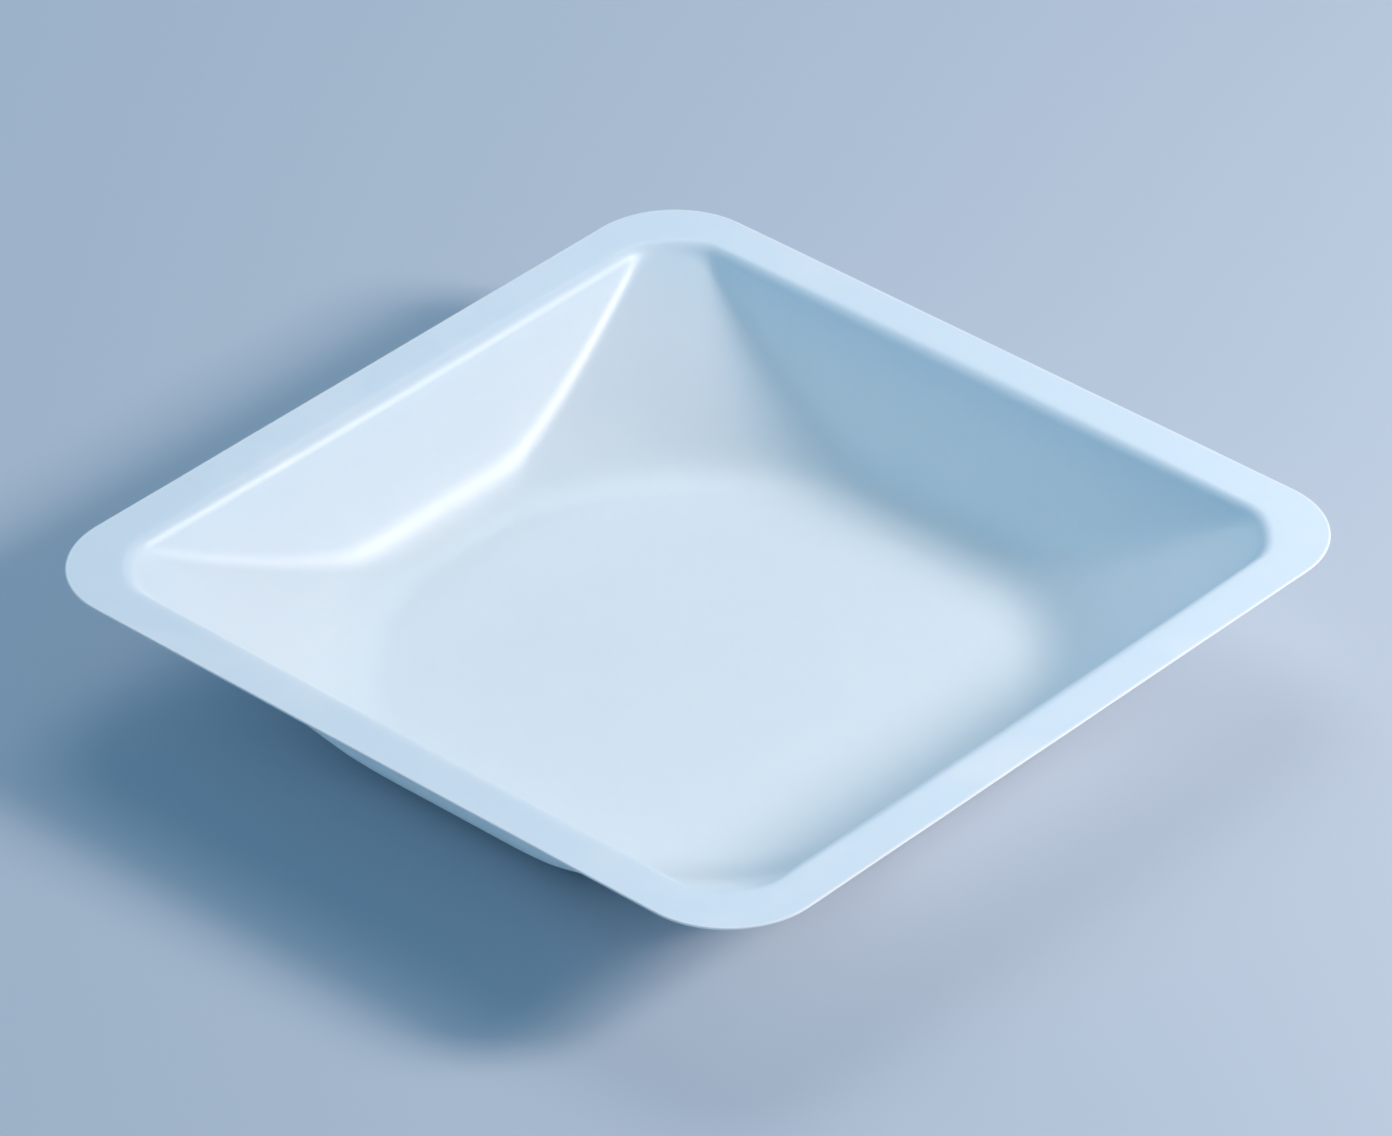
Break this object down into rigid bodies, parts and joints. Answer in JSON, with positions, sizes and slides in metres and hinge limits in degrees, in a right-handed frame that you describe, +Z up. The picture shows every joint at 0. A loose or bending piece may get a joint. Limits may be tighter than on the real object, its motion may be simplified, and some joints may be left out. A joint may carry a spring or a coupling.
{
  "type": "weighing boat",
  "caption": "Square weighing boat of thin milky plastic: a flat rim, steep drafted walls that meet a shallow round bowl in curved creases, and a flat base to stand on.",
  "frame": {"origin": "middle of the base's underside, on the plane the boat stands on", "axes": "+Z up out of the open mouth; X and Y square to the straight sides of the rim"},
  "size_m": [0.14, 0.14, 0.022],
  "materials": {
    "boat": "satin, milky and slightly translucent, with a faint cool tint"
  },
  "bodies": {
    "root": {"boat": "boat"}
  },
  "joints": []
}
